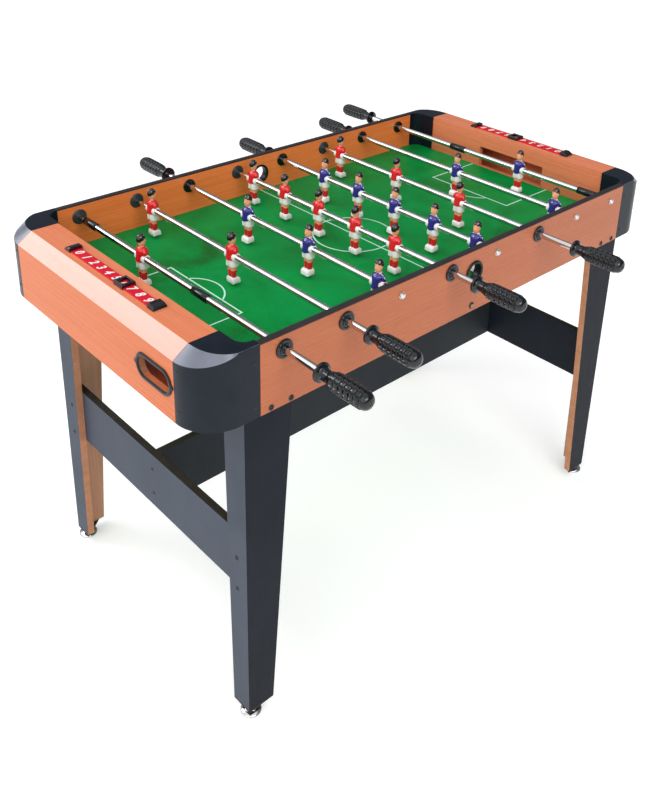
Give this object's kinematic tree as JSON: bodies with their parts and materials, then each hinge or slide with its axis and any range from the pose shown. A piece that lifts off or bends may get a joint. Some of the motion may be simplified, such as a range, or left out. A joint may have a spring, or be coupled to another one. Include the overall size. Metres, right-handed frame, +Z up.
{
  "type": "foosball table",
  "caption": "Football table on tapered L-shaped legs, with telescopic player rods that slide and spin, score counters and ball returns.",
  "frame": {"origin": "on the floor under the middle of the table, between its four feet", "axes": "+Z up; +X along the table's length towards the goal that the blue goalkeeper guards; -Y towards the side of the red team's handles"},
  "size_m": [1.215, 1.03, 0.8],
  "materials": {
    "wood_laminate": "orange-brown wood-grain laminate on board, satin",
    "green_field": "printed green playing surface on board, satin, with thin pale lines",
    "black_moulding": "blue-black moulded plastic, fine texture",
    "slate_board": "dark slate laminate on board, brown inner faces and raw edges",
    "chrome": "polished chrome plate on steel",
    "gloss_black": "gloss black moulded plastic",
    "red_team": "red moulded men on a chrome-plated steel tube",
    "blue_team": "dark blue moulded men on a chrome-plated steel tube",
    "score_red": "gloss red strip with pale numbers"
  },
  "bodies": {
    "table": {"playfield": "green_field", "side_panel_near": "wood_laminate", "edge_trim_near": "black_moulding", "ball_entry_cup_near": "gloss_black", "side_panel_far": "wood_laminate", "edge_trim_far": "black_moulding", "ball_entry_cup_far": "gloss_black", "end_panel_left": "wood_laminate", "goal_wall_left": "wood_laminate", "ball_return_bezel_left": "black_moulding", "score_rail_left": "score_red", "end_stretcher_left": "slate_board", "corner_cap_left_near": "black_moulding", "leg_left_near": "slate_board", "corner_cap_left_far": "black_moulding", "leg_left_far": "slate_board", "end_panel_right": "wood_laminate", "goal_wall_right": "wood_laminate", "ball_return_bezel_right": "black_moulding", "score_rail_right": "score_red", "end_stretcher_right": "slate_board", "corner_cap_right_near": "black_moulding", "leg_right_near": "slate_board", "corner_cap_right_far": "black_moulding", "leg_right_far": "slate_board", "long_stretcher": "slate_board", "red_goalie_guide_rod": "chrome", "red_defence_guide_rod": "chrome", "blue_attack_guide_rod": "chrome", "red_midfield_guide_rod": "chrome", "blue_midfield_guide_rod": "chrome", "red_attack_guide_rod": "chrome", "blue_defence_guide_rod": "chrome", "blue_goalie_guide_rod": "chrome"},
    "red_goalie_bush": {"red_goalie_bearing": "gloss_black"},
    "red_goalie_row": {"red_goalie_rod": "red_team", "red_goalie_handle": "gloss_black"},
    "red_defence_bush": {"red_defence_bearing": "gloss_black"},
    "red_defence_row": {"red_defence_rod": "red_team", "red_defence_handle": "gloss_black"},
    "blue_attack_bush": {"blue_attack_bearing": "gloss_black"},
    "blue_attack_row": {"blue_attack_rod": "blue_team", "blue_attack_handle": "gloss_black"},
    "red_midfield_bush": {"red_midfield_bearing": "gloss_black"},
    "red_midfield_row": {"red_midfield_rod": "red_team", "red_midfield_handle": "gloss_black"},
    "blue_midfield_bush": {"blue_midfield_bearing": "gloss_black"},
    "blue_midfield_row": {"blue_midfield_rod": "blue_team", "blue_midfield_handle": "gloss_black"},
    "red_attack_bush": {"red_attack_bearing": "gloss_black"},
    "red_attack_row": {"red_attack_rod": "red_team", "red_attack_handle": "gloss_black"},
    "blue_defence_bush": {"blue_defence_bearing": "gloss_black"},
    "blue_defence_row": {"blue_defence_rod": "blue_team", "blue_defence_handle": "gloss_black"},
    "blue_goalie_bush": {"blue_goalie_bearing": "gloss_black"},
    "blue_goalie_row": {"blue_goalie_rod": "blue_team", "blue_goalie_handle": "gloss_black"},
    "score_left": {"score_slider_left": "gloss_black"},
    "score_right": {"score_slider_right": "gloss_black"}
  },
  "joints": [
    {"name": "red_goalie_spin", "type": "hinge", "parent": "table", "child": "red_goalie_bush", "pos_m": [-0.4515, 0, 0.753], "axis": [0, 1, 0], "continuous": true},
    {"name": "red_goalie_slide", "type": "slide", "parent": "red_goalie_bush", "child": "red_goalie_row", "axis": [0, 1, 0], "range_m": [-0.175, 0.015]},
    {"name": "red_defence_spin", "type": "hinge", "parent": "table", "child": "red_defence_bush", "pos_m": [-0.3225, 0, 0.753], "axis": [0, 1, 0], "continuous": true},
    {"name": "red_defence_slide", "type": "slide", "parent": "red_defence_bush", "child": "red_defence_row", "axis": [0, 1, 0], "range_m": [-0.272, 0.038]},
    {"name": "blue_attack_spin", "type": "hinge", "parent": "table", "child": "blue_attack_bush", "pos_m": [-0.1935, 0, 0.753], "axis": [0, 1, 0], "continuous": true},
    {"name": "blue_attack_slide", "type": "slide", "parent": "blue_attack_bush", "child": "blue_attack_row", "axis": [0, 1, 0], "range_m": [-0.023, 0.187]},
    {"name": "red_midfield_spin", "type": "hinge", "parent": "table", "child": "red_midfield_bush", "pos_m": [-0.0645, 0, 0.753], "axis": [0, 1, 0], "continuous": true},
    {"name": "red_midfield_slide", "type": "slide", "parent": "red_midfield_bush", "child": "red_midfield_row", "axis": [0, 1, 0], "range_m": [-0.111, 0.039]},
    {"name": "blue_midfield_spin", "type": "hinge", "parent": "table", "child": "blue_midfield_bush", "pos_m": [0.0645, 0, 0.753], "axis": [0, 1, 0], "continuous": true},
    {"name": "blue_midfield_slide", "type": "slide", "parent": "blue_midfield_bush", "child": "blue_midfield_row", "axis": [0, 1, 0], "range_m": [-0.02, 0.13]},
    {"name": "red_attack_spin", "type": "hinge", "parent": "table", "child": "red_attack_bush", "pos_m": [0.1935, 0, 0.753], "axis": [0, 1, 0], "continuous": true},
    {"name": "red_attack_slide", "type": "slide", "parent": "red_attack_bush", "child": "red_attack_row", "axis": [0, 1, 0], "range_m": [-0.171, 0.039]},
    {"name": "blue_defence_spin", "type": "hinge", "parent": "table", "child": "blue_defence_bush", "pos_m": [0.3225, 0, 0.753], "axis": [0, 1, 0], "continuous": true},
    {"name": "blue_defence_slide", "type": "slide", "parent": "blue_defence_bush", "child": "blue_defence_row", "axis": [0, 1, 0], "range_m": [-0.019, 0.291]},
    {"name": "blue_goalie_spin", "type": "hinge", "parent": "table", "child": "blue_goalie_bush", "pos_m": [0.4515, 0, 0.753], "axis": [0, 1, 0], "continuous": true},
    {"name": "blue_goalie_slide", "type": "slide", "parent": "blue_goalie_bush", "child": "blue_goalie_row", "axis": [0, 1, 0], "range_m": [-0.015, 0.175]},
    {"name": "score_left_slide", "type": "slide", "parent": "table", "child": "score_left", "axis": [0, 1, 0], "range_m": [-0.0747, 0.1494]},
    {"name": "score_right_slide", "type": "slide", "parent": "table", "child": "score_right", "axis": [0, 1, 0], "range_m": [-0.1245, 0.0996]}
  ]
}
